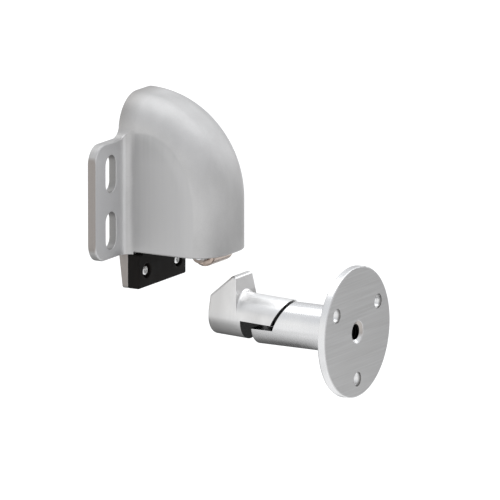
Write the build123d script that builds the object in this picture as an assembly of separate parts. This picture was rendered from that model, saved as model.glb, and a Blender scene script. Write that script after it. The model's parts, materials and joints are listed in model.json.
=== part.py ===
from build123d import *
import math
import os

# A wall door holder: a wall unit with a sprung hook, and a door unit with a hood, bumper and strike roller.
# All lengths are in millimetres. X runs from the door to the wall, whose face is X = 0. Z is up.
# The wall post's axis is Y = 0, Z = 0. A reach is a distance out from the wall, a height is a value of Z.

# Wall plate
plate_diameter = 63.5
plate_thickness = 4.0
plate_edge_round = 0.6
wall_screw_circle = 46.0
wall_screw_hole = 7.0
wall_screw_count = 3
stud_bore = 7.4
stud_bore_depth = 16.0
stud_sink_diameter = 11.2
stud_sink_depth = 1.3

# Post, with the lip that the hook's tail comes down on and the sloping shoulder behind the tail
post_diameter = 22.0
post_root_round = 0.8
lip_reach = 53.0
lip_drop = 2.1
lip_nose_round = 0.9
shoulder_foot_reach = 40.9
shoulder_lean = 28.5
shoulder_bulge = 0.8

# Hook, drawn in line with the post and then tipped nose-up to its rest
hook_diameter = 22.2
hook_rise = 0.5
hook_rest_tilt = 2.5
nose_length = 10.8
nose_shoulder_height = 9.6
nose_edge_round = 1.6
lip_top_height = 20.2
lip_top_run = 7.6
lip_top_land = 2.2
lip_rear_slant = 10.0
lip_top_width = 15.6
lip_flank_start = 2.0
lip_root_round = 2.4
tail_step_reach = 58.2
tail_clearance = 1.8
tail_end_gap = 1.7

# Tongue, mortise and cross pin of the hook's pivot
pivot_reach = 31.0
pivot_height = 2.0
tongue_width = 9.0
tongue_radius = 4.0
mortise_side_clearance = 0.25
mortise_end_clearance = 0.6
mortise_roof_clearance = 1.2
mortise_floor_clearance = 1.0
pivot_pin_diameter = 4.0
pivot_pin_near_depth = 2.8
pivot_pin_far_depth = 0.6
pin_seat_clearance = 0.02
running_clearance = 0.05

# Hook spring
spring_reach = 46.5
spring_diameter = 6.0
spring_wire = 1.0
spring_turns = 5.5
spring_floor_height = -8.0
spring_roof_height = 6.2
spring_lower_pocket_clearance = 0.3
spring_upper_pocket_clearance = 0.9

# Hood casting
door_reach = 119.1
hood_front_reach = 68.1
hood_width = 44.7
hood_rim_height = 31.1
hood_crown_height = 106.9
hood_arc_height = 55.4
hood_edge_round = 17.0
hood_wall = 3.0
rim_edge_round = 0.9
flange_thickness = 4.0
flange_edge_round = 1.0
flange_span = 102.4
flange_top_height = 87.0
flange_bottom_height = 30.1
flange_corner_round = 9.0
flange_neck_round = 6.0
flange_root_round = 4.0
slot_width = 10.0
slot_length = 18.5
slot_offset = 36.35
slot_low_height = 44.0
slot_spacing = 27.7
back_web_top = 54.0

# Plate behind the bumper, bumper pad and its screws
pad_plate_thickness = 5.0
pad_plate_tip_thickness = 2.9
pad_plate_bottom = 13.0
pad_plate_corner_round = 1.5
pad_thickness = 6.2
pad_top = 48.0
pad_lift = 0.2
pad_side_clearance = 0.3
pad_corner_round = 0.8
pad_screw_offset = 15.0
pad_screw_height = 21.2
pad_screw_head = 5.4
pad_screw_head_height = 2.0
pad_screw_head_round = 1.4
pad_screw_shank = 3.4
pad_screw_recess = 7.2
pad_screw_recess_depth = 2.4
pad_screw_end_inset = 0.4
pad_screw_hole_clearance = 0.1
pad_screw_driver_length = 3.0
pad_screw_driver_slot = 0.8
pad_screw_driver_depth = 0.9

# Strike roller, its pin and the lugs that carry it
roller_diameter = 12.0
roller_length = 20.0
roller_end_round = 1.5
roller_wall_gap = 2.5
roller_drop = 5.9
roller_pin_diameter = 4.0
lug_thickness = 4.0
lug_gap = 0.4
lug_radius = 3.5
lug_top_height = 46.0
lug_rim_clearance = 1.0

# Values that follow from the sizes above
past = 5.0
near = 0.001
post_radius = post_diameter / 2
hook_radius = hook_diameter / 2
lip_top_front_reach = tail_step_reach + lip_top_run
nose_reach = lip_top_front_reach + nose_length
hood_half = hood_width / 2
hood_inner_front = hood_front_reach + hood_wall
hood_inner_round = hood_edge_round - hood_wall
hood_arc_radius = hood_crown_height - hood_arc_height
flange_front_reach = door_reach - flange_thickness
pad_back_reach = door_reach - pad_plate_thickness
pad_front_reach = pad_back_reach - pad_thickness
pivot_x = -pivot_reach
tail_floor = tail_clearance - lip_drop
tongue_top = pivot_height + tongue_radius
roller_x = -(hood_inner_front + roller_wall_gap + roller_diameter / 2)
roller_z = hood_rim_height - roller_drop + roller_diameter / 2
lug_inner = roller_length / 2 + lug_gap
lug_outer = lug_inner + lug_thickness


def side_prism(outline, half_width):
    """Solid of an outline drawn in X and Z, the same distance either side of Y = 0."""
    return extrude(Plane.XZ * make_face(outline), half_width, both=True)


def rod_x(radius, start, end):
    """Round rod along X between two values of X, on the post's axis."""
    return Pos(start, 0, 0) * extrude(Plane.YZ * Circle(radius), end - start)


def rod_y(radius, x, z, start, end):
    """Round rod along Y between two values of Y."""
    return Pos(x, end, z) * extrude(Plane.XZ * Circle(radius), end - start)


def shoulder_points(shift):
    """Foot, middle and head of the post's sloping shoulder, moved out from the wall by shift."""
    height = post_diameter
    run = height * math.tan(math.radians(shoulder_lean))
    slope = math.hypot(height, run)
    foot = Vector(-shoulder_foot_reach - shift, -lip_drop)
    head = foot + Vector(run, height)
    middle = (foot + head) / 2 + Vector(-height, run) * (shoulder_bulge / slope)
    return foot, middle, head


def make_wall_post():
    plate = rod_x(plate_diameter / 2, -plate_thickness, 0)
    plate = fillet(plate.edges().filter_by(GeomType.CIRCLE), plate_edge_round)
    post = rod_x(post_radius, -lip_reach, 0)
    post = fillet(post.edges().group_by(Axis.X)[0], lip_nose_round)
    body = plate + post
    root = body.edges().filter_by(GeomType.CIRCLE).filter_by(lambda e: abs(e.radius - post_radius) < near)
    root = root.filter_by_position(Axis.X, -plate_thickness - near, -plate_thickness + near)
    body = fillet(root, post_root_round)

    foot, middle, head = shoulder_points(0)
    clear_reach = lip_reach + past
    room = Polyline(head, (-clear_reach, head.Y), (-clear_reach, -lip_drop), foot)
    room += ThreePointArc(foot, middle, head)
    body -= side_prism(room, post_diameter)

    mortise_half = tongue_width / 2 + mortise_side_clearance
    mortise_back = pivot_x + tongue_radius + mortise_end_clearance
    mortise_floor = pivot_height - tongue_radius - mortise_floor_clearance
    mortise = Box(
        mortise_back + shoulder_foot_reach,
        2 * mortise_half,
        tongue_top + mortise_roof_clearance - mortise_floor,
        align=(Align.MIN, Align.CENTER, Align.MIN),
    )
    body -= Pos(-shoulder_foot_reach, 0, mortise_floor) * mortise

    pin_radius = pivot_pin_diameter / 2 + pin_seat_clearance
    body -= rod_y(pin_radius, pivot_x, pivot_height, -post_radius + pivot_pin_near_depth, post_diameter)
    pocket_radius = spring_diameter / 2 + spring_lower_pocket_clearance
    pocket_depth = -lip_drop - spring_floor_height
    pocket = Cylinder(pocket_radius, pocket_depth, align=(Align.CENTER, Align.CENTER, Align.MIN))
    body -= Pos(-spring_reach, 0, spring_floor_height) * pocket

    body -= rod_x(stud_bore / 2, -stud_bore_depth, 0)
    sink_align = (Align.CENTER, Align.CENTER, Align.MIN)
    sink = Cone(stud_bore / 2, stud_sink_diameter / 2, stud_sink_depth, align=sink_align)
    body -= Pos(-stud_sink_depth, 0, 0) * Rot(0, 90, 0) * sink
    for turn in range(wall_screw_count):
        angle = math.radians(-90 + turn * 360 / wall_screw_count)
        across = wall_screw_circle / 2 * math.cos(angle)
        up = wall_screw_circle / 2 * math.sin(angle)
        body -= Pos(0, across, up) * rod_x(wall_screw_hole / 2, -plate_thickness - past, past)
    return body


def lip_root_fillet(section, lip_rear_reach):
    """Concave ring between the lip's rear face and the round tail, kept inside the lip's flanks."""
    drop = lip_top_height - hook_rise - hook_radius - lip_root_round
    root_x = -lip_rear_reach + drop * math.tan(math.radians(lip_rear_slant))
    far = Vector(root_x + lip_root_round, hook_radius)
    high = Vector(root_x, hook_radius + lip_root_round)
    centre = far + Vector(0, lip_root_round)
    middle = centre - Vector(lip_root_round, lip_root_round) * math.sqrt(0.5)
    inside = root_x - lip_top_land
    ring = Polyline(high, (inside, high.Y), (inside, 0), (far.X, 0), far) + ThreePointArc(far, middle, high)
    ring = Pos(0, 0, hook_rise) * revolve(Plane.XZ * make_face(ring), Axis.X)
    return ring & Pos(inside, 0, 0) * extrude(Plane.YZ * section, far.X - inside)


def make_hook():
    lip_rear_reach = lip_top_front_reach - lip_top_land
    rear_run = (lip_top_height + hook_radius) * math.tan(math.radians(lip_rear_slant))
    nose_side = Polyline(
        (-nose_reach, -hook_diameter),
        (-nose_reach, nose_shoulder_height),
        (-lip_top_front_reach, lip_top_height),
        (-lip_rear_reach, lip_top_height),
        (-lip_rear_reach + rear_run, -hook_radius),
        (-lip_rear_reach + rear_run, -hook_diameter),
        close=True,
    )
    flanks = Polyline(
        (-hook_radius, hook_rise),
        (-hook_radius, lip_flank_start),
        (-lip_top_width / 2, lip_top_height),
        (lip_top_width / 2, lip_top_height),
        (hook_radius, lip_flank_start),
        (hook_radius, hook_rise),
        close=True,
    )
    section = Pos(0, hook_rise) * Circle(hook_radius) + make_face(flanks)
    block = Pos(-nose_reach, 0, 0) * extrude(Plane.YZ * section, nose_reach - tail_step_reach)
    block &= side_prism(nose_side, hook_diameter)
    front_edges = block.edges().filter_by(lambda e: e.center().X < -lip_rear_reach + near)
    block = fillet(front_edges, nose_edge_round)

    foot, middle, head = shoulder_points(tail_end_gap)
    tail_start = -lip_top_front_reach
    tail_side = Polyline(head, (tail_start, head.Y), (tail_start, foot.Y), foot)
    tail_side += ThreePointArc(foot, middle, head)
    tail = Pos(0, 0, hook_rise) * rod_x(hook_radius, tail_start, 0)
    tail &= side_prism(tail_side, hook_diameter)
    downward = (Align.MIN, Align.CENTER, Align.MAX)
    under_tail = Box(tail_step_reach, hook_diameter, hook_diameter, align=downward)
    tail -= Pos(-tail_step_reach, 0, tail_floor) * under_tail
    heel = Pos(0, 0, hook_rise) * rod_x(hook_radius, tail_start, -tail_step_reach)
    hook = block + (tail + heel)
    hook += lip_root_fillet(section, lip_rear_reach)

    neck_start = -shoulder_foot_reach - tail_end_gap - past
    neck = Box(
        pivot_x - neck_start,
        tongue_width,
        tongue_top - tail_floor,
        align=(Align.MIN, Align.CENTER, Align.MIN),
    )
    tongue = rod_y(tongue_radius, pivot_x, pivot_height, -tongue_width / 2, tongue_width / 2)
    hook += Pos(neck_start, 0, tail_floor) * neck + tongue
    bore_radius = pivot_pin_diameter / 2 + running_clearance
    hook -= rod_y(bore_radius, pivot_x, pivot_height, -tongue_width, tongue_width)

    hook = hook.rotate(Axis((pivot_x, 0, pivot_height), (0, 1, 0)), hook_rest_tilt)
    pocket_radius = spring_diameter / 2 + spring_upper_pocket_clearance
    pocket = Cylinder(pocket_radius, post_diameter, align=(Align.CENTER, Align.CENTER, Align.MAX))
    return hook - Pos(-spring_reach, 0, spring_roof_height) * pocket


def make_pivot_pin():
    blind_end = -post_radius + pivot_pin_near_depth
    half_chord = math.sqrt(post_radius**2 - pivot_height**2)
    open_end = half_chord - pivot_pin_far_depth
    return rod_y(pivot_pin_diameter / 2, pivot_x, pivot_height, blind_end, open_end)


def make_hook_spring():
    free_height = spring_roof_height - spring_floor_height
    pitch = free_height / spring_turns
    coil_radius = (spring_diameter - spring_wire) / 2
    path = Helix(pitch, free_height + 2 * spring_wire, coil_radius)
    wire = Plane(origin=path @ 0, z_dir=path % 0) * Circle(spring_wire / 2)
    coil = sweep(wire, path, is_frenet=True)
    ends = Cylinder(spring_diameter, free_height, align=(Align.CENTER, Align.CENTER, Align.MIN))
    coil = Pos(0, 0, -spring_wire) * coil & ends
    return Pos(-spring_reach, 0, spring_floor_height) * coil


def hood_form(front_reach, half_width, crown_height, floor_height, edge_round):
    """Solid form of the hood: upright front, round crown, and edges rounded along the whole side outline."""
    arc_radius = crown_height - hood_arc_height
    crown_reach = front_reach + arc_radius
    back_reach = max(door_reach, crown_reach)
    side = Polyline(
        (-crown_reach, crown_height),
        (-back_reach - past, crown_height),
        (-back_reach - past, floor_height),
        (-front_reach, floor_height),
        (-front_reach, hood_arc_height),
    )
    middle = Vector(-crown_reach, hood_arc_height) + Vector(arc_radius, arc_radius) * math.sqrt(0.5)
    side += ThreePointArc((-front_reach, hood_arc_height), middle, (-crown_reach, crown_height))
    form = side_prism(side, half_width)
    sides = form.faces().sort_by(Axis.Y)
    rim = sides[0].edges() + sides[-1].edges()
    upright = rim.filter_by_position(Axis.X, -front_reach - near, -front_reach + near)
    arcs = rim.filter_by(GeomType.CIRCLE)
    crown = rim.filter_by_position(Axis.Z, crown_height - near, crown_height + near)
    return fillet(upright + arcs + crown, edge_round)


def flange_outline():
    """Outline in Y and Z of the plate on the door: the two flanges and the foot of the arch between them."""
    run_back = hood_front_reach + hood_arc_radius - flange_front_reach + flange_root_round
    arch_top = hood_arc_height + math.sqrt(hood_arc_radius**2 - run_back**2)
    upward = (Align.CENTER, Align.MIN)
    arch = Pos(0, flange_bottom_height) * Rectangle(hood_width, arch_top - flange_bottom_height, align=upward)
    arch = fillet(arch.vertices().group_by(Axis.Y)[-1], hood_edge_round)
    height = flange_top_height - flange_bottom_height
    flanges = Pos(0, flange_bottom_height) * Rectangle(flange_span, height, align=upward)
    outline = arch + fillet(flanges.vertices(), flange_corner_round)

    corner = Vector(hood_half - hood_edge_round, arch_top - hood_edge_round)
    neck_z = flange_top_height + flange_neck_round
    reach = hood_edge_round + flange_neck_round
    neck = Vector(corner.X + math.sqrt(reach**2 - (neck_z - corner.Y) ** 2), neck_z)
    touch = corner + (neck - corner) * (hood_edge_round / reach)
    low = Vector(neck.X, flange_top_height)
    middle = neck + ((touch + low) / 2 - neck).normalized() * flange_neck_round
    patch = Polyline(touch, (corner.X, touch.Y), (corner.X, flange_top_height), low)
    patch = make_face(patch + ThreePointArc(low, middle, touch))
    return outline + patch + mirror(patch, Plane.YZ)


def flange_root():
    """Concave fillets that run up the corner between each flange and the hood's side."""
    front = -flange_front_reach
    centre = Vector(front + flange_root_round, hood_half + flange_root_round)
    middle = centre - Vector(flange_root_round, flange_root_round) * math.sqrt(0.5)
    inner = hood_half - hood_wall
    section = Polyline(
        (centre.X, hood_half),
        (centre.X, inner),
        (-door_reach, inner),
        (-door_reach, centre.Y),
        (front, centre.Y),
    )
    section = make_face(section + ThreePointArc((front, centre.Y), middle, (centre.X, hood_half)))
    section += mirror(section, Plane.XZ)
    return Pos(0, 0, flange_bottom_height) * extrude(section, hood_crown_height - flange_bottom_height)


def make_lugs():
    """Two ears for the roller's pin, each joined to the inside of the hood's front wall by a web."""
    top = lug_top_height - roller_z
    ear = Circle(lug_radius) + Rectangle(2 * lug_radius, top, align=(Align.CENTER, Align.MIN))
    ear = Pos(roller_x, roller_z) * ear
    web_low = hood_rim_height + lug_rim_clearance
    web_length = -roller_x - hood_front_reach
    web = Rectangle(web_length, lug_top_height - web_low, align=(Align.MIN, Align.MIN))
    ear += Pos(roller_x, web_low) * web
    lug = Pos(0, lug_outer, 0) * extrude(Plane.XZ * ear, lug_thickness)
    sunk = hood_wall / 2
    limit = hood_form(
        hood_front_reach + sunk,
        hood_half - sunk,
        hood_crown_height - sunk,
        roller_z - lug_radius - past,
        hood_edge_round - sunk,
    )
    return (lug + mirror(lug, Plane.XZ)) & limit


def make_hood_casting():
    outer = hood_form(hood_front_reach, hood_half, hood_crown_height, hood_rim_height, hood_edge_round)
    casting = fillet(outer.faces().sort_by(Axis.Z)[0].edges(), rim_edge_round)
    outline = flange_outline()
    flanges = Pos(-door_reach, 0, 0) * extrude(Plane.YZ * outline, flange_thickness)
    casting += fillet(flanges.faces().sort_by(Axis.X)[-1].edges(), flange_edge_round)
    root_depth = flange_thickness + flange_root_round
    casting += flange_root() & Pos(-door_reach, 0, 0) * extrude(Plane.YZ * outline, root_depth)

    inner_crown = hood_crown_height - hood_wall
    cavity_floor = hood_rim_height - past
    casting -= hood_form(hood_inner_front, hood_half - hood_wall, inner_crown, cavity_floor, hood_inner_round)
    behind_door = Box(door_reach, flange_span, hood_crown_height, align=(Align.MAX, Align.CENTER, Align.MIN))
    casting -= Pos(-door_reach, 0, 0) * behind_door

    plate_side = Polyline(
        (-door_reach, hood_rim_height),
        (-pad_back_reach - pad_plate_tip_thickness, pad_plate_bottom),
        (-pad_back_reach, pad_plate_bottom),
        (-pad_back_reach, back_web_top),
        (-door_reach, back_web_top),
        close=True,
    )
    plate = side_prism(plate_side, hood_half)
    corners = plate.edges().filter_by(Axis.X).group_by(Axis.Z)[0]
    casting += fillet(corners, pad_plate_corner_round)
    casting += make_lugs()

    slot = Rot(0, 0, 90) * SlotOverall(slot_length, slot_width)
    for side in (-1, 1):
        for height in (slot_low_height, slot_low_height + slot_spacing):
            place = Pos(side * slot_offset, height)
            cut = extrude(Plane.YZ * place * slot, flange_thickness + past, both=True)
            casting -= Pos(-door_reach, 0, 0) * cut
        screw_radius = pad_screw_shank / 2 + pin_seat_clearance
        screw_hole = rod_x(screw_radius, -door_reach, -pad_back_reach)
        casting -= Pos(0, side * pad_screw_offset, pad_screw_height) * screw_hole
    pin_radius = roller_pin_diameter / 2 + pin_seat_clearance
    casting -= rod_y(pin_radius, roller_x, roller_z, -lug_outer, lug_outer)
    return casting


def make_bumper_pad():
    bottom = pad_plate_bottom + pad_lift
    shoulder = min(hood_rim_height, flange_bottom_height) - pad_side_clearance
    neck_width = hood_width - 2 * (hood_wall + pad_side_clearance)
    upward = (Align.CENTER, Align.MIN)
    outline = Pos(0, bottom) * Rectangle(hood_width, shoulder - bottom, align=upward)
    outline += Pos(0, bottom) * Rectangle(neck_width, pad_top - bottom, align=upward)
    pad = Pos(-pad_back_reach, 0, 0) * extrude(Plane.YZ * outline, pad_thickness)
    pad = fillet(pad.faces().sort_by(Axis.X)[-1].edges(), pad_corner_round)
    hole_radius = pad_screw_shank / 2 + pad_screw_hole_clearance
    for side in (-1, 1):
        place = Pos(0, side * pad_screw_offset, pad_screw_height)
        pad -= place * rod_x(hole_radius, -pad_back_reach, -pad_front_reach)
        recess_floor = -pad_front_reach - pad_screw_recess_depth
        pad -= place * rod_x(pad_screw_recess / 2, recess_floor, -pad_front_reach)
    return pad


def make_pad_screws():
    seat = -pad_front_reach - pad_screw_recess_depth
    top = seat + pad_screw_head_height
    head = rod_x(pad_screw_head / 2, seat, top)
    head = fillet(head.edges().group_by(Axis.X)[-1], pad_screw_head_round)
    inward = (Align.MAX, Align.CENTER, Align.CENTER)
    groove = Box(pad_screw_driver_depth, pad_screw_driver_length, pad_screw_driver_slot, align=inward)
    head -= Pos(top, 0, 0) * groove + Pos(top, 0, 0) * Rot(90, 0, 0) * groove
    tip = -pad_back_reach - pad_plate_tip_thickness + pad_screw_end_inset
    screw = head + rod_x(pad_screw_shank / 2, tip, seat)
    screws = [Pos(0, side * pad_screw_offset, pad_screw_height) * screw for side in (-1, 1)]
    return Compound(children=screws)


def make_strike_roller():
    half = roller_length / 2
    roller = rod_y(roller_diameter / 2, roller_x, roller_z, -half, half)
    roller = fillet(roller.edges().filter_by(GeomType.CIRCLE), roller_end_round)
    return roller - rod_y(roller_pin_diameter / 2 + running_clearance, roller_x, roller_z, -half, half)


def make_roller_pin():
    return rod_y(roller_pin_diameter / 2, roller_x, roller_z, -lug_outer, lug_outer)


def make_all():
    return {
        "wall_post": make_wall_post(),
        "hook": make_hook(),
        "pivot_pin": make_pivot_pin(),
        "hook_spring": make_hook_spring(),
        "hood_casting": make_hood_casting(),
        "bumper_pad": make_bumper_pad(),
        "pad_screws": make_pad_screws(),
        "strike_roller": make_strike_roller(),
        "roller_pin": make_roller_pin(),
    }


os.makedirs("parts", exist_ok=True)
for name, solid in make_all().items():
    solid.label = name
    export_step(solid, f"parts/{name}.step")
    print(name, len(solid.solids()), round(solid.volume, 1), solid.is_valid)
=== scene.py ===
import json
import math

import bmesh
import bpy
from mathutils import Matrix, Vector


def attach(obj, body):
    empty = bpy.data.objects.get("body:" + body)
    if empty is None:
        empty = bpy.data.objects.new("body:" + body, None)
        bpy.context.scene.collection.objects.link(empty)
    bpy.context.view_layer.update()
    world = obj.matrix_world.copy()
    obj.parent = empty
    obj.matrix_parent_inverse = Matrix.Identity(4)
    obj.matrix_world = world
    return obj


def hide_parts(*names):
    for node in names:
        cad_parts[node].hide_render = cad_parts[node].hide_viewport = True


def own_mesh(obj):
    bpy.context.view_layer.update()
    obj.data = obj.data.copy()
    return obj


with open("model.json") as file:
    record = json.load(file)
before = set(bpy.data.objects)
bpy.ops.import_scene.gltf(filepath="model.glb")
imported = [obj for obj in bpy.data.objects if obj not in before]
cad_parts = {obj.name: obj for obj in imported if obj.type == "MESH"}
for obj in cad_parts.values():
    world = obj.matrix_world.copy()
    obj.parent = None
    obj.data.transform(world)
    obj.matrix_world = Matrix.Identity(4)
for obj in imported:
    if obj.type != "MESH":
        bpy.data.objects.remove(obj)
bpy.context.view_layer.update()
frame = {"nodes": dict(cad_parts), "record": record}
nodes = frame["nodes"]
mm = 0.001
print("frame loaded with", len(nodes), "nodes")

surfaceTools = {
    "noiseUsed": (0.3, 0.7),  # the part of a noise's range that is stretched to full contrast
    "edgeSamples": 6,
    "edgeMatch": (0.99, 0.90),  # match of the rounded normal and the face's own, off and on an edge
    "shadeSamples": 8,
}


def startFinish(name, colour, metallic, roughness):
    finish = bpy.data.materials.new(name)
    finish.use_nodes = True
    finish.diffuse_color = (*colour, 1.0)
    shader = finish.node_tree.nodes["Principled BSDF"]
    shader.inputs["Base Color"].default_value = (*colour, 1.0)
    shader.inputs["Metallic"].default_value = metallic
    shader.inputs["Roughness"].default_value = roughness
    return finish, finish.node_tree, shader


def grain(tree, stretch, detail, turn=(0, 0, 0)):
    # noise on object coordinates; stretch is waves per metre along each axis
    place = tree.nodes.new("ShaderNodeTexCoord")
    mapping = tree.nodes.new("ShaderNodeMapping")
    mapping.inputs["Rotation"].default_value = [math.radians(t) for t in turn]
    mapping.inputs["Scale"].default_value = stretch
    noise = tree.nodes.new("ShaderNodeTexNoise")
    noise.inputs["Scale"].default_value = 1.0
    noise.inputs["Detail"].default_value = detail
    tree.links.new(place.outputs["Object"], mapping.inputs["Vector"])
    tree.links.new(mapping.outputs["Vector"], noise.inputs["Vector"])
    return noise.outputs[0]


def sums(tree, operation, first, second=None):
    node = tree.nodes.new("ShaderNodeMath")
    node.operation = operation
    for socket, value in zip(node.inputs, (first, second)):
        if isinstance(value, (int, float)):
            socket.default_value = value
        elif value is not None:
            tree.links.new(value, socket)
    return node.outputs["Value"]


def squares(tree, first, second):
    return sums(tree, "ADD", sums(tree, "MULTIPLY", first, first), sums(tree, "MULTIPLY", second, second))


def axisValue(tree, axis, absolute=False):
    place = tree.nodes.new("ShaderNodeTexCoord")
    split = tree.nodes.new("ShaderNodeSeparateXYZ")
    tree.links.new(place.outputs["Object"], split.inputs["Vector"])
    if not absolute:
        return split.outputs[axis]
    return sums(tree, "ABSOLUTE", split.outputs[axis])


def ramp(tree, source, start, end, low=0.0, high=1.0):
    node = tree.nodes.new("ShaderNodeMapRange")
    for label, value in (("From Min", start), ("From Max", end), ("To Min", low), ("To Max", high)):
        node.inputs[label].default_value = value
    tree.links.new(source, node.inputs["Value"])
    return node.outputs["Result"]


def contrast(tree, noise, levels=(0.0, 1.0), used=surfaceTools["noiseUsed"]):
    return ramp(tree, noise, *used, *levels)


def zone(tree, axes, where, unit=mm):
    # each row: an axis, where the zone starts and where it is full, in mm here, and levels if not 0 and 1
    share = None
    for axis, start, full, *levels in where:
        step = ramp(tree, axes[axis], start * unit, full * unit, *levels)
        share = step if share is None else sums(tree, "MULTIPLY", share, step)
    return share


def blendColour(tree, factor, first, second):
    node = tree.nodes.new("ShaderNodeMix")
    node.data_type = "RGBA"
    tree.links.new(factor, node.inputs[0])
    for socket, value in ((node.inputs[6], first), (node.inputs[7], second)):
        if isinstance(value, tuple):
            socket.default_value = (*value, 1.0)
        else:
            tree.links.new(value, socket)
    return node.outputs[2]


def blendValue(tree, factor, first, second):
    node = tree.nodes.new("ShaderNodeMix")
    tree.links.new(factor, node.inputs[0])
    tree.links.new(first, node.inputs[2])
    tree.links.new(second, node.inputs[3])
    return node.outputs[0]


def layAreas(tree, axes, metal, areas):
    for area in areas.values():
        metal = blendColour(tree, zone(tree, axes, area["where"]), metal, area["colour"])
    return metal


def softEdges(tree, radius):
    node = tree.nodes.new("ShaderNodeBevel")
    node.samples = surfaceTools["edgeSamples"]
    node.inputs["Radius"].default_value = radius
    return node.outputs["Normal"]


def edgeWearAndHighlight(tree, radius, share):
    # lighter edges, part wear and part painted highlight: the share along the edges, 0 on the faces
    shape = tree.nodes.new("ShaderNodeNewGeometry")
    match = tree.nodes.new("ShaderNodeVectorMath")
    match.operation = "DOT_PRODUCT"
    tree.links.new(softEdges(tree, radius), match.inputs[0])
    tree.links.new(shape.outputs["Normal"], match.inputs[1])
    return ramp(tree, match.outputs["Value"], *surfaceTools["edgeMatch"], 0.0, share)


def creviceShade(tree, reach, dark, clear):
    # painted shade from ambient occlusion: 0 deep in a slot or bore, 1 on open faces
    node = tree.nodes.new("ShaderNodeAmbientOcclusion")
    node.samples = surfaceTools["shadeSamples"]
    node.inputs["Distance"].default_value = reach
    return ramp(tree, node.outputs["AO"], dark, clear)


def relief(tree, shader, layers, edgeRadius):
    # each layer is a height, a strength and a depth, laid over the rounded edges
    normal = softEdges(tree, edgeRadius)
    for height, strength, depth in layers:
        bump = tree.nodes.new("ShaderNodeBump")
        bump.inputs["Strength"].default_value = strength
        bump.inputs["Distance"].default_value = depth
        tree.links.new(height, bump.inputs["Height"])
        tree.links.new(normal, bump.inputs["Normal"])
        normal = bump.outputs["Normal"]
    tree.links.new(normal, shader.inputs["Normal"])


castingLook = {
    "colour": (0.492, 0.489, 0.486),
    "light": (0.578, 0.574, 0.571),
    "roughness": (0.52, 0.62),
    "roughNoise": (0.25, 0.75),
    "blasted": {"stretch": (1500, 1500, 1500), "detail": 4.0},
    "brushed": {"stretch": (480, 480, 11), "detail": 7.0},
    "cloudy": {"stretch": (55, 55, 40), "detail": 4.0},
    "relief": (0.12, 0.05 * mm),  # strength and depth of the grain
    "edge": 0.4 * mm,
    # lighter edges: wear, and a painted highlight along them
    "edgeWearAndHighlightColour": (0.66, 0.65, 0.64),
    "edgeShare": 0.4,
    "flat": {  # brushed flat on each side of the hood, bowed at its top
        "colour": (0.505, 0.503, 0.503),
        # painted shade: the flat darker towards its back
        "rearShadeColour": (0.50, 0.498, 0.496),
        # painted shade: the flat darker towards its top
        "topShadeColour": (0.42, 0.42, 0.42),
        "middle": (-106.0 * mm, 52.0 * mm),
        "half": (27.6 * mm, 38.0 * mm),
        "bow": (1.02, 0.96),
        "where": [("across", 19.6, 20.2), ("along", -110.7, -109.5)],
        "shadeRearToFront": [("along", -110.0, -86.0)],
        "shadeTowardsTop": [("up", 75.0, 86.0, 0.0, 0.65)],
        "streaks": (0.0, 0.55),
        "relief": (0.35, 0.12 * mm),
    },
    "flange": {  # linished front of the flanges, brighter where they meet the hood
        "colour": (0.67, 0.67, 0.675),
        "rootColour": (0.80, 0.80, 0.80),
        "where": [("across", 23.6, 24.8), ("along", -115.5, -115.25)],
        "rootToEnd": [("across", 25.5, 28.5)],
    },
    "areas": {
        # painted shade on the walls of the slots in the flanges
        "slotWallShade": {
            "colour": (0.33, 0.325, 0.32),
            "where": [
                ("across", 30.4, 30.8),
                ("across", 42.4, 42.0),
                ("up", 32.0, 33.0),
                ("up", 83.5, 82.5),
                ("along", -115.25, -115.5),
                ("along", -119.0, -118.8),
            ],
        },
        "shoulderShade": {  # painted shade, darker and warmer at the back of the crown
            "colour": (0.33, 0.318, 0.308),
            "where": [
                ("along", -109.5, -118.5, 0.0, 0.75),
                ("up", 84.0, 100.0, 0.25, 1.0),
                ("up", 80.0, 84.0),
            ],
        },
        "lugs": {  # warmer and darker tone on the lugs
            "colour": (0.34, 0.285, 0.25),
            "where": [
                ("across", 18.6, 18.2),
                ("up", 30.0, 29.0),
                ("along", -68.5, -69.5),
                ("along", -95.5, -94.5),
            ],
        },
        "flangeEnds": {"colour": (0.34, 0.315, 0.298), "where": [("across", 50.2, 50.9)]},  # sawn
        "lowPlateEnds": {
            "colour": (0.34, 0.315, 0.298),
            "where": [("up", 30.2, 29.8), ("across", 22.0, 22.3)],
        },
    },
}


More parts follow.
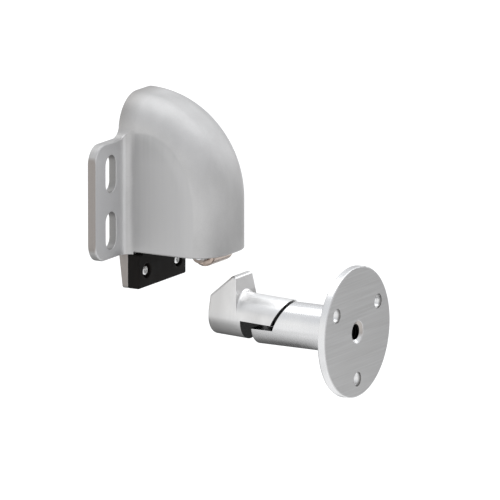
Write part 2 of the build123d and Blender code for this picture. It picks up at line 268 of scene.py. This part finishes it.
def makeCastingFinish(look):
    finish, tree, shader = startFinish("satinCasting", look["colour"], 1.0, look["roughness"][0])
    axes = {"along": axisValue(tree, "X"), "across": axisValue(tree, "Y", True), "up": axisValue(tree, "Z")}
    brushed = grain(tree, **look["brushed"])
    blasted = grain(tree, **look["blasted"])
    cloudy = grain(tree, **look["cloudy"])
    metal = blendColour(tree, contrast(tree, cloudy), look["colour"], look["light"])

    side = look["flat"]
    run, rise = [
        sums(tree, "DIVIDE", sums(tree, "SUBTRACT", axes[axis], middle), half)
        for axis, middle, half in zip(("along", "up"), side["middle"], side["half"])
    ]
    bow = squares(tree, run, sums(tree, "MAXIMUM", rise, 0.0))
    patch = sums(tree, "MULTIPLY", ramp(tree, bow, *side["bow"]), zone(tree, axes, side["where"]))
    # painted shade on the flat, darker towards its back
    flat = blendColour(tree, zone(tree, axes, side["shadeRearToFront"]), side["rearShadeColour"], side["colour"])
    # painted shade on the flat, darker towards its top
    flat = blendColour(tree, zone(tree, axes, side["shadeTowardsTop"]), flat, side["topShadeColour"])
    flat = blendColour(tree, contrast(tree, brushed, side["streaks"]), flat, look["light"])
    metal = blendColour(tree, patch, metal, flat)

    flange = look["flange"]
    front = blendColour(tree, zone(tree, axes, flange["rootToEnd"]), flange["rootColour"], flange["colour"])
    metal = blendColour(tree, zone(tree, axes, flange["where"]), metal, front)
    metal = layAreas(tree, axes, metal, look["areas"])
    # edges made lighter: wear, and a painted edge highlight
    worn = edgeWearAndHighlight(tree, look["edge"], look["edgeShare"])
    tree.links.new(blendColour(tree, worn, metal, look["edgeWearAndHighlightColour"]), shader.inputs["Base Color"])
    surface = blendValue(tree, patch, blasted, brushed)
    rough = contrast(tree, surface, look["roughness"], look["roughNoise"])
    tree.links.new(rough, shader.inputs["Roughness"])
    relief(tree, shader, [(patch, *side["relief"]), (surface, *look["relief"])], look["edge"])
    return finish


turnedLook = {
    "colour": (0.70, 0.70, 0.705),
    "light": (0.75, 0.75, 0.75),
    "roughness": (0.24, 0.30),
    "backColour": (0.555, 0.553, 0.55),  # the plate's ground back is duller
    "backLight": (0.625, 0.625, 0.625),
    "backRoughness": (0.41, 0.49),
    "back": [("along", -0.45, -0.15)],
    "rings": {"stretch": (2600, 30, 30), "detail": 4.0},
    "ringShare": 0.12,
    "strokes": {"stretch": (60, 24, 1500), "turn": (24, 0, 0), "detail": 5.0},
    "cloudy": {"stretch": (70, 70, 70), "detail": 3.0},
    "relief": (0.06, 0.03 * mm),
    "edge": 0.25 * mm,
    "areas": {
        "sinkShade": {  # painted shade over the upper part of the stud hole's countersink
            "colour": (0.40, 0.375, 0.355),
            "where": [("radius", 6.9, 6.7), ("along", -0.1, -0.2), ("along", -3.2, -2.8), ("up", -3.4, -1.4)],
        },
    },
    "drillShadeColour": (0.22, 0.215, 0.21),  # painted shade on the walls of the screw holes, near the plate's back
    "drillPlaces": [(0.0, -23.0 * mm), (19.92 * mm, 11.5 * mm)],
    "drill": [("reach", 3.62, 3.57), ("along", -1.9, -0.7)],
    # painted shade colour: hollows, the stud bore and the lip's top under the tail
    "dark": (0.010, 0.010, 0.010),
    "creviceShade": (5.0 * mm, 0.16, 0.42),  # painted shade in hollows: reach, and the openness that is dark and clear
    # painted shade inside the stud bore
    "bore": [("radius", 3.85, 3.73), ("along", -19.0, -18.0)],
    "seatHeight": -2.1 * mm,  # top of the lip under the hook's tail
    # painted shadow on the lip's top under the hook's tail
    "seat": [("overSeat", 0.25, 0.10), ("along", -40.7, -41.0), ("side", 10.7, 10.4)],
}


def makeTurnedFinish(look):
    finish, tree, shader = startFinish("turnedAluminium", look["colour"], 1.0, look["roughness"][0])
    side, up = axisValue(tree, "Y", True), axisValue(tree, "Z")
    axes = {
        "along": axisValue(tree, "X"),
        "side": side,
        "up": up,
        "radius": sums(tree, "SQRT", squares(tree, side, up)),
        "overSeat": sums(tree, "ABSOLUTE", sums(tree, "SUBTRACT", up, look["seatHeight"])),
    }
    rings = grain(tree, **look["rings"])
    strokes = grain(tree, **look["strokes"])
    cloudy = grain(tree, **look["cloudy"])
    back = zone(tree, axes, look["back"])
    metal = blendColour(tree, contrast(tree, cloudy), look["colour"], look["light"])
    ground = blendColour(tree, contrast(tree, strokes), look["backColour"], look["backLight"])
    metal = blendColour(tree, back, metal, ground)
    metal = layAreas(tree, axes, metal, look["areas"])
    # painted shade on the screw-hole walls
    for sideways, height in look["drillPlaces"]:
        gap = squares(tree, sums(tree, "SUBTRACT", side, sideways), sums(tree, "SUBTRACT", up, height))
        axes["reach"] = sums(tree, "SQRT", gap)
        metal = blendColour(tree, zone(tree, axes, look["drill"]), metal, look["drillShadeColour"])
    # painted shade in the hollows, then inside the stud bore and on the lip's top under the hook's tail
    metal = blendColour(tree, creviceShade(tree, *look["creviceShade"]), look["dark"], metal)
    boreAndSeatShade = sums(tree, "MAXIMUM", zone(tree, axes, look["bore"]), zone(tree, axes, look["seat"]))
    tree.links.new(blendColour(tree, boreAndSeatShade, metal, look["dark"]), shader.inputs["Base Color"])
    shine = contrast(tree, rings, look["roughness"])
    dull = contrast(tree, strokes, look["backRoughness"])
    tree.links.new(blendValue(tree, back, shine, dull), shader.inputs["Roughness"])
    lines = blendValue(tree, back, sums(tree, "MULTIPLY", rings, look["ringShare"]), strokes)
    relief(tree, shader, [(lines, *look["relief"])], look["edge"])
    return finish


hookLook = {
    "colour": (0.62, 0.617, 0.613),
    "light": (0.73, 0.727, 0.722),
    "lightNoise": (0.32, 0.68),
    "roughness": (0.28, 0.38),
    "brushed": {"stretch": (900, 60, 60), "detail": 5.0},
    "brushedRelief": (0.10, 0.03 * mm),
    "cloudy": {"stretch": (150, 90, 90), "detail": 4.0},
    "cloudyRelief": (0.15, 0.10 * mm),
    "edge": 0.12 * mm,
    # lighter edges: wear, and a painted highlight along them
    "edgeWearAndHighlightColour": (0.82, 0.82, 0.82),
    "edgeShare": 0.8,
    "pivot": (-31.0 * mm, 2.0 * mm),
    "restTilt": 2.5,
    "lipSlant": 0.1763,  # lean of the lip's rear face
    "areas": {  # in mm from the pivot, along the tilted hook
        # painted shade, the nose darker towards its front
        "noseShade": {"colour": (0.57, 0.565, 0.56), "where": [("along", -32.0, -40.0)]},
        "throatHighlight": {  # painted highlight on the face behind the lip
            "colour": (0.93, 0.925, 0.925),
            "where": [("rear", -29.6, -29.45), ("height", 9.2, 10.6)],
        },
        "tail": {  # painted highlight along its top
            "colour": (0.93, 0.93, 0.925),
            "where": [("along", -28.0, -25.0), ("height", 3.0, 6.5, 0.0, 0.85)],
        },
    },
    # painted shade in the gaps and hollows of the hook
    "gapShadeColour": (0.035, 0.034, 0.033),
    "creviceShade": (5.0 * mm, 0.16, 0.42),  # painted shade in hollows: reach, and the openness that is dark and clear
    "slotShadeColour": (0.008, 0.008, 0.008),  # painted shade on the cut faces of the slot under the tail
    "slot": [("along", -27.45, -27.32), ("height", -2.05, -2.18)],
}


def makeHookFinish(look):
    finish, tree, shader = startFinish("brushedHook", look["colour"], 1.0, look["roughness"][0])
    brushed = grain(tree, **look["brushed"])
    cloudy = grain(tree, **look["cloudy"])
    run = sums(tree, "SUBTRACT", axisValue(tree, "X"), look["pivot"][0])
    rise = sums(tree, "SUBTRACT", axisValue(tree, "Z"), look["pivot"][1])
    sine, cosine = math.sin(math.radians(look["restTilt"])), math.cos(math.radians(look["restTilt"]))
    along = sums(tree, "SUBTRACT", sums(tree, "MULTIPLY", run, cosine), sums(tree, "MULTIPLY", rise, sine))
    height = sums(tree, "ADD", sums(tree, "MULTIPLY", run, sine), sums(tree, "MULTIPLY", rise, cosine))
    rear = sums(tree, "ADD", along, sums(tree, "MULTIPLY", height, look["lipSlant"]))
    axes = {"along": along, "height": height, "rear": rear}
    metal = blendColour(tree, contrast(tree, cloudy, used=look["lightNoise"]), look["colour"], look["light"])
    metal = layAreas(tree, axes, metal, look["areas"])
    # edges made lighter: wear, and a painted edge highlight
    worn = edgeWearAndHighlight(tree, look["edge"], look["edgeShare"])
    metal = blendColour(tree, worn, metal, look["edgeWearAndHighlightColour"])
    # painted shade in the hook's hollows, then in the slot under the tail
    metal = blendColour(tree, creviceShade(tree, *look["creviceShade"]), look["gapShadeColour"], metal)
    slot = zone(tree, axes, look["slot"])
    tree.links.new(blendColour(tree, slot, metal, look["slotShadeColour"]), shader.inputs["Base Color"])
    tree.links.new(contrast(tree, brushed, look["roughness"]), shader.inputs["Roughness"])
    layers = [(cloudy, *look["cloudyRelief"]), (brushed, *look["brushedRelief"])]
    relief(tree, shader, layers, look["edge"])
    return finish


rubberLook = {
    "colour": (0.0065, 0.0054, 0.0048),
    "worn": (0.013, 0.011, 0.010),
    "wornNoise": (0.35, 0.75),
    "roughness": (0.48, 0.64),
    "gloss": 0.10,
    "skin": {"stretch": (1800, 1800, 1800), "detail": 3.0},
    "patches": {"stretch": (140, 140, 140), "detail": 5.0},
    "relief": (0.25, 0.05 * mm),
    "edge": 0.2 * mm,
}


def makeRubberFinish(look):
    finish, tree, shader = startFinish("bumperRubber", look["colour"], 0.0, look["roughness"][0])
    shader.inputs["Specular IOR Level"].default_value = look["gloss"]
    skin = grain(tree, **look["skin"])
    patches = grain(tree, **look["patches"])
    worn = contrast(tree, patches, used=look["wornNoise"])
    tree.links.new(blendColour(tree, worn, look["colour"], look["worn"]), shader.inputs["Base Color"])
    tree.links.new(contrast(tree, patches, look["roughness"]), shader.inputs["Roughness"])
    relief(tree, shader, [(skin, *look["relief"])], look["edge"])
    return finish


steelLooks = {
    "relief": (0.08, 0.02 * mm),
    "edge": 0.15 * mm,
    "screwSteel": {
        "colour": (0.70, 0.70, 0.70),
        "light": (0.80, 0.80, 0.80),
        "roughness": (0.18, 0.32),
        "lines": {"stretch": (900, 900, 900), "detail": 3.0},
    },
    "pinSteel": {
        "colour": (0.55, 0.55, 0.56),
        "light": (0.64, 0.64, 0.65),
        "roughness": (0.18, 0.30),
        "lines": {"stretch": (900, 60, 900), "detail": 3.0},
    },
    "springSteel": {
        "colour": (0.36, 0.36, 0.37),
        "light": (0.46, 0.46, 0.47),
        "roughness": (0.22, 0.36),
        "lines": {"stretch": (700, 700, 700), "detail": 3.0},
    },
    "rollerMetal": {
        "colour": (0.36, 0.29, 0.25),
        "light": (0.46, 0.38, 0.33),
        "roughness": (0.18, 0.30),
        "lines": {"stretch": (60, 2400, 60), "detail": 3.0},
    },
}


def makeSteelFinish(name):
    look = steelLooks[name]
    finish, tree, shader = startFinish(name, look["colour"], 1.0, look["roughness"][0])
    lines = grain(tree, **look["lines"])
    metal = blendColour(tree, contrast(tree, lines), look["colour"], look["light"])
    tree.links.new(metal, shader.inputs["Base Color"])
    tree.links.new(contrast(tree, lines, look["roughness"]), shader.inputs["Roughness"])
    relief(tree, shader, [(lines, *steelLooks["relief"])], steelLooks["edge"])
    return finish


finishes = {
    "satin_casting": makeCastingFinish(castingLook),
    "turned_aluminium": makeTurnedFinish(turnedLook),
    "bumper_rubber": makeRubberFinish(rubberLook),
    "screw_steel": makeSteelFinish("screwSteel"),
    "pin_steel": makeSteelFinish("pinSteel"),
    "spring_steel": makeSteelFinish("springSteel"),
    "roller_metal": makeSteelFinish("rollerMetal"),
}
for entry in frame["record"]["subparts"]:
    node = nodes[entry["node"]]
    node.data.materials.clear()
    node.data.materials.append(finishes[entry["material_slot"]])
nodes["hook"].data.materials[0] = makeHookFinish(hookLook)  # same metal, brushed instead of turned
print("finishes set on the carried-over nodes:", len(finishes))


def placeMesh(name, mesh):
    data = bpy.data.meshes.new(name)
    mesh.to_mesh(data)
    mesh.free()
    thing = bpy.data.objects.new(name, data)
    bpy.context.scene.collection.objects.link(thing)
    return thing


def newPiece(name, mesh, body, slotName):
    piece = placeMesh(name, mesh)
    piece.data.materials.append(finishes[slotName])
    piece.data.polygons.foreach_set("use_smooth", [True] * len(piece.data.polygons))
    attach(piece, body)
    return piece


hookCoil = {
    "axisX": -46.5 * mm,
    "low": -8.0 * mm,
    "high": 6.2 * mm,
    "coilRadius": 2.5 * mm,
    "wireRadius": 0.5 * mm,
    "wireSides": 14,
    "turns": 5.5,
    "stepsPerTurn": 36,
    "squeezed": 0.87,  # share of its height left at the end of the tilt
}


def makeHookCoil(coil):
    pitch = (coil["high"] - coil["low"]) / coil["turns"]
    spare = coil["wireRadius"] * 2  # wire past each end, ground off below
    turns = (coil["high"] - coil["low"] + 2 * spare) / pitch
    steps = round(turns * coil["stepsPerTurn"])
    mesh = bmesh.new()
    bmesh.ops.create_circle(mesh, cap_ends=True, radius=coil["wireRadius"], segments=coil["wireSides"])
    bmesh.ops.rotate(mesh, verts=mesh.verts, matrix=Matrix.Rotation(math.radians(90), 3, "X"))
    start = Vector((coil["axisX"] + coil["coilRadius"], 0, coil["low"] - spare))
    bmesh.ops.translate(mesh, verts=mesh.verts, vec=start)
    bmesh.ops.spin(
        mesh,
        geom=mesh.faces[:],
        cent=(coil["axisX"], 0, 0),
        axis=(0, 0, 1),
        dvec=(0, 0, turns * pitch / steps),
        angle=turns * math.tau,
        steps=steps,
    )
    for height, up in ((coil["low"], -1), (coil["high"], 1)):  # ground ends
        everything = mesh.verts[:] + mesh.edges[:] + mesh.faces[:]
        cut = bmesh.ops.bisect_plane(
            mesh, geom=everything, plane_co=(0, 0, height), plane_no=(0, 0, up), clear_outer=True
        )
        rim = [item for item in cut["geom_cut"] if isinstance(item, bmesh.types.BMEdge)]
        bmesh.ops.edgenet_fill(mesh, edges=rim)
    bmesh.ops.recalc_face_normals(mesh, faces=mesh.faces)
    piece = newPiece("hookCoil", mesh, "fixed", "spring_steel")
    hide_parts("hook_spring")
    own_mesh(piece)


makeHookCoil(hookCoil)
print("hook coil made")

studThread = {
    "mouth": -1.9 * mm,
    "end": -14.9 * mm,
    "wallRadius": 3.69 * mm,
    "crestRadius": 3.25 * mm,
    "pitch": 1.25 * mm,
    "flank": 0.42,  # share of the pitch on each side of the crest
    "stepsPerTurn": 40,
}


def makeStudThread(thread):
    turns = (thread["mouth"] - thread["end"]) / thread["pitch"]
    steps = round(turns * thread["stepsPerTurn"])
    half = thread["pitch"] * thread["flank"]
    mesh = bmesh.new()
    corners = [
        mesh.verts.new((thread["mouth"] + half, thread["wallRadius"], 0)),
        mesh.verts.new((thread["mouth"], thread["crestRadius"], 0)),
        mesh.verts.new((thread["mouth"] - half, thread["wallRadius"], 0)),
    ]
    mesh.faces.new(corners)
    bmesh.ops.spin(
        mesh,
        geom=mesh.faces[:],
        cent=(0, 0, 0),
        axis=(1, 0, 0),
        dvec=(-turns * thread["pitch"] / steps, 0, 0),
        angle=turns * math.tau,
        steps=steps,
    )
    bmesh.ops.recalc_face_normals(mesh, faces=mesh.faces)
    newPiece("studThread", mesh, "fixed", "turned_aluminium")


makeStudThread(studThread)
print("stud thread made")

bumper = {
    "back": -114.1 * mm,
    "front": -107.9 * mm,
    "outline": [  # half of it, from the low corner up
        (22.35 * mm, 13.2 * mm),
        (22.35 * mm, 29.8 * mm),
        (19.05 * mm, 29.8 * mm),
        (19.05 * mm, 48.0 * mm),
    ],
    "edge": 0.45 * mm,
    "edgeSegments": 4,
    "screwAcross": 15.0 * mm,
    "screwUp": 21.2 * mm,
    "recessRadius": 3.6 * mm,
    "recessDepth": 2.4 * mm,
    "shankRadius": 1.8 * mm,
    "cutPast": 1 * mm,  # how far the cut for a screw passes the faces
    "cutSteps": 48,
    "weld": 0.001 * mm,
    "voxel": 0.3 * mm,
    "smoothTurns": 2,
    "smoothShare": 0.5,
    "swell": 0.14 * mm,  # rubber pushed up round each screw
    "swellReach": 2.6 * mm,
}


def makeScrewRooms(pad):
    # a recess with its shank hole, spun from half a section, and its mirror image
    mesh = bmesh.new()
    floor = pad["front"] - pad["recessDepth"]
    mouth, end = pad["front"] + pad["cutPast"], pad["back"] - pad["cutPast"]
    section = [
        (end, 0),
        (end, pad["shankRadius"]),
        (floor, pad["shankRadius"]),
        (floor, pad["recessRadius"]),
        (mouth, pad["recessRadius"]),
        (mouth, 0),
    ]
    corners = [mesh.verts.new((x, 0, r)) for x, r in section]
    edges = [mesh.edges.new(pair) for pair in zip(corners, corners[1:])]
    bmesh.ops.spin(
        mesh,
        geom=corners + edges,
        cent=(0, 0, 0),
        axis=(1, 0, 0),
        angle=math.tau,
        steps=pad["cutSteps"],
        use_merge=True,
    )
    bmesh.ops.remove_doubles(mesh, verts=mesh.verts, dist=pad["weld"])
    bmesh.ops.recalc_face_normals(mesh, faces=mesh.faces)
    bmesh.ops.translate(mesh, verts=mesh.verts, vec=(0, pad["screwAcross"], pad["screwUp"]))
    other = mesh.copy()
    bmesh.ops.scale(other, verts=other.verts, vec=(1, -1, 1))
    bmesh.ops.reverse_faces(other, faces=other.faces)
    return [placeMesh("screwRoom", part) for part in (mesh, other)]


def makeBumper(pad):
    mesh = bmesh.new()
    corners = pad["outline"] + [(-y, z) for y, z in reversed(pad["outline"])]
    sheet = mesh.faces.new([mesh.verts.new((pad["back"], y, z)) for y, z in corners])
    grown = bmesh.ops.extrude_face_region(mesh, geom=[sheet])["geom"]
    raised = [item for item in grown if isinstance(item, bmesh.types.BMVert)]
    bmesh.ops.translate(mesh, verts=raised, vec=(pad["front"] - pad["back"], 0, 0))
    bmesh.ops.recalc_face_normals(mesh, faces=mesh.faces)
    bmesh.ops.bevel(
        mesh,
        geom=mesh.edges[:],
        offset=pad["edge"],
        affect="EDGES",
        segments=pad["edgeSegments"],
        profile=0.5,
        material=-1,
    )
    block = placeMesh("bumperBlock", mesh)
    rooms = makeScrewRooms(pad)
    for room in rooms:
        cut = block.modifiers.new("recess", "BOOLEAN")
        cut.operation, cut.solver, cut.object = "DIFFERENCE", "EXACT", room
    skin = block.modifiers.new("skin", "REMESH")
    skin.mode, skin.voxel_size = "VOXEL", pad["voxel"]
    ready = block.evaluated_get(bpy.context.evaluated_depsgraph_get())
    mesh = bmesh.new()
    mesh.from_mesh(ready.to_mesh())
    ready.to_mesh_clear()
    for helper in rooms + [block]:
        bpy.data.objects.remove(helper)
    for turn in range(pad["smoothTurns"]):  # moulded, so no edge stays sharp
        bmesh.ops.smooth_vert(
            mesh,
            verts=mesh.verts,
            factor=pad["smoothShare"],
            use_axis_x=True,
            use_axis_y=True,
            use_axis_z=True,
        )
    for vert in mesh.verts:
        sideways, rise = abs(vert.co.y) - pad["screwAcross"], vert.co.z - pad["screwUp"]
        far = math.hypot(sideways, rise) - pad["recessRadius"]
        if vert.co.x > pad["front"] - pad["edge"] and far > 0:
            vert.co.x += pad["swell"] * math.exp(-((far / pad["swellReach"]) ** 2))
    piece = newPiece("bumperRubber", mesh, "fixed", "bumper_rubber")
    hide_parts("bumper_pad")


makeBumper(bumper)
print("bumper made")

studio = {
    "floor": {"height": -0.25, "size": 6.0, "glow": 0.74, "colour": (0.42, 0.42, 0.42), "roughness": 0.9},
    "world": {  # the room that the metal reflects; limits are on the direction's X, Y and Z
        "front": (1.12, 1.12, 1.12),
        "back": (0.66, 0.66, 0.67),
        "frontToBack": [("Y", -0.4, 0.6)],
        "high": (0.885, 0.90, 0.925),
        "lowToHigh": [("Z", 0.25, 0.60)],
        "corner": (0.80, 0.805, 0.83),  # dimmer, high at the right
        "towardsCorner": [("X", 0.0, 0.45), ("Z", 0.05, 0.35), ("Y", 0.1, -0.2)],
        "background": (1.0, 1.0, 1.0),
    },
    "lamps": {
        "topSoftbox": {
            "place": (0.0, 0.33, 0.97),
            "aim": (-0.09, 0.0, 0.06),
            "size": (1.06, 1.02),
            "power": 3.35,
            "tint": (0.99, 0.995, 1.0),
        },
        "postSoftbox": {
            "place": (-0.53, 0.02, 0.87),
            "aim": (-0.04, 0.0, 0.0),
            "size": (0.55, 0.20),
            "power": 0.66,
            "tint": (1.0, 1.0, 1.0),
        },
        "rimSoftbox": {
            "place": (0.30, 0.80, 0.38),
            "aim": (-0.08, 0.0, 0.06),
            "size": (0.25, 0.25),
            "power": 0.62,
            "tint": (0.97, 0.98, 1.0),
        },
    },
    "cards": {  # fade is the share that is faded at the sides, front and back
        "noseBounce": {
            "place": (-0.0795, 0.015, 0.020),
            "aim": (0.0, 0.015, 0.020),
            "size": (0.056, 0.034),
            "grey": 0.80,
            "fade": (0.02, 0.02, 0.02),
        },
        "noseCard": {
            "place": (-0.185, -0.085, -0.085),
            "aim": (-0.185, -0.085, 0.0),
            "size": (0.22, 0.30),
            "grey": 0.34,
            "fade": (0.30, 0.60, 0.15),
        },
        "underCard": {
            "place": (-0.205, 0.055, -0.09),
            "aim": (-0.205, 0.055, 0.0),
            "size": (0.32, 0.33),
            "grey": 0.10,
            "fade": (0.08, 0.37, 0.12),
        },
        "backCard": {
            "place": (0.225, 0.51, -0.076),
            "aim": (-0.068, 0.0, 0.05),
            "size": (0.60, 0.44),
            "grey": 0.45,
            "fade": (0.25, 0.25, 0.25),
        },
    },
}


def aimed(place, aim, axis):
    return (Vector(aim) - Vector(place)).to_track_quat(axis, "Y").to_euler()


def chooseShader(tree, factor, first, second):
    choose = tree.nodes.new("ShaderNodeMixShader")
    for socket, source in zip(choose.inputs, (factor, first, second)):
        tree.links.new(source, socket)
    tree.links.new(choose.outputs[0], tree.nodes["Material Output"].inputs["Surface"])


def makeFloor(ground):
    mesh = bmesh.new()
    bmesh.ops.create_grid(mesh, x_segments=1, y_segments=1, size=ground["size"])
    bmesh.ops.translate(mesh, verts=mesh.verts, vec=(0, 0, ground["height"]))
    floor = placeMesh("floor", mesh)
    finish, tree, shader = startFinish("paleFloor", ground["colour"], 0.0, ground["roughness"])
    shader.inputs["Specular IOR Level"].default_value = 0.0
    path = tree.nodes.new("ShaderNodeLightPath")
    seen = sums(tree, "MAXIMUM", path.outputs["Is Camera Ray"], path.outputs["Is Glossy Ray"])
    seen = sums(tree, "MAXIMUM", seen, path.outputs["Is Transmission Ray"])
    tree.links.new(sums(tree, "MULTIPLY", seen, ground["glow"]), shader.inputs["Emission Strength"])
    shader.inputs["Emission Color"].default_value = (1, 1, 1, 1)
    clear = tree.nodes.new("ShaderNodeBsdfTransparent")  # open from below
    sides = tree.nodes.new("ShaderNodeNewGeometry")
    chooseShader(tree, sides.outputs["Backfacing"], shader.outputs[0], clear.outputs[0])
    floor.data.materials.append(finish)


def makeCard(name, board):
    # a board that only the metal reflects, and only from its front
    mesh = bmesh.new()
    bmesh.ops.create_grid(mesh, x_segments=1, y_segments=1, size=0.5)
    card = placeMesh(name, mesh)
    card.location = board["place"]
    card.rotation_euler = aimed(board["place"], board["aim"], "Z")
    card.scale = (*board["size"], 1)
    card.visible_camera = card.visible_diffuse = card.visible_shadow = card.visible_transmission = False
    grey = (board["grey"],) * 3
    finish, tree, shader = startFinish(name, grey, 0.0, 1.0)
    glow = tree.nodes.new("ShaderNodeEmission")
    glow.inputs["Color"].default_value = (*grey, 1)
    clear = tree.nodes.new("ShaderNodeBsdfTransparent")
    facing = tree.nodes.new("ShaderNodeNewGeometry")
    axes = {
        "across": axisValue(tree, "X", True),
        "deep": axisValue(tree, "Y"),
        "behind": facing.outputs["Backfacing"],
    }
    sides, front, back = board["fade"]
    where = [
        ("across", 0.5, 0.5 - sides),
        ("deep", 0.5, 0.5 - front),
        ("deep", -0.5, back - 0.5),
        ("behind", 1.0, 0.0),
    ]
    chooseShader(tree, zone(tree, axes, where, unit=1.0), clear.outputs[0], glow.outputs[0])
    tree.nodes.remove(shader)
    card.data.materials.append(finish)


def makeWorld(room):
    world = bpy.data.worlds.new("studio")
    bpy.context.scene.world = world
    world.use_nodes = True
    tree = world.node_tree
    place = tree.nodes.new("ShaderNodeTexCoord")
    split = tree.nodes.new("ShaderNodeSeparateXYZ")
    tree.links.new(place.outputs["Generated"], split.inputs["Vector"])
    deep, rise, corner = [
        zone(tree, split.outputs, room[change], unit=1.0)
        for change in ("frontToBack", "lowToHigh", "towardsCorner")
    ]
    walls = blendColour(tree, deep, room["front"], room["back"])
    walls = blendColour(tree, rise, walls, room["high"])
    walls = blendColour(tree, corner, walls, room["corner"])
    path = tree.nodes.new("ShaderNodeLightPath")
    sky = blendColour(tree, path.outputs["Is Camera Ray"], walls, room["background"])
    tree.links.new(sky, tree.nodes["Background"].inputs["Color"])
    tree.nodes["Background"].inputs["Strength"].default_value = 1.0


def makeLamp(name, box):
    data = bpy.data.lights.new(name, "AREA")
    data.shape = "RECTANGLE"
    data.size, data.size_y = box["size"]
    data.energy, data.color = box["power"], box["tint"]
    lamp = bpy.data.objects.new(name, data)
    lamp.location = box["place"]
    lamp.rotation_euler = aimed(box["place"], box["aim"], "-Z")
    bpy.context.scene.collection.objects.link(lamp)


makeFloor(studio["floor"])
for name, board in studio["cards"].items():
    makeCard(name, board)
makeWorld(studio["world"])
for name, box in studio["lamps"].items():
    makeLamp(name, box)
print("studio set")

photoView = {
    "azimuth": 30.01,
    "elevation": 12.12,
    "distance": 5.6375,
    "focalPixels": 11810.0,
    "frameSide": 500.0,
    "originPixel": (357.52, 332.13),  # where the plate's centre falls in the frame
    "sensor": 36.0,
    "clip": (0.1, 30.0),
}


def makeCamera(shot):
    turn, lift = math.radians(shot["azimuth"]), math.radians(shot["elevation"])
    forward = Vector((-math.sin(turn) * math.cos(lift), math.cos(turn) * math.cos(lift), -math.sin(lift)))
    right = Vector((math.cos(turn), math.sin(turn), 0))
    up = right.cross(forward)
    across = (shot["originPixel"][0] - shot["frameSide"] / 2) / shot["focalPixels"]
    down = (shot["originPixel"][1] - shot["frameSide"] / 2) / shot["focalPixels"]
    data = bpy.data.cameras.new("photoCamera")
    data.sensor_width = shot["sensor"]
    data.lens = shot["focalPixels"] * shot["sensor"] / shot["frameSide"]
    data.clip_start, data.clip_end = shot["clip"]
    camera = bpy.data.objects.new("photoCamera", data)
    camera.location = -shot["distance"] * (forward + across * right - down * up)
    camera.rotation_euler = Matrix((right, up, -forward)).transposed().to_euler()
    bpy.context.scene.collection.objects.link(camera)
    bpy.context.scene.camera = camera


makeCamera(photoView)
bpy.context.scene.view_settings.view_transform = "Standard"
print("camera set")
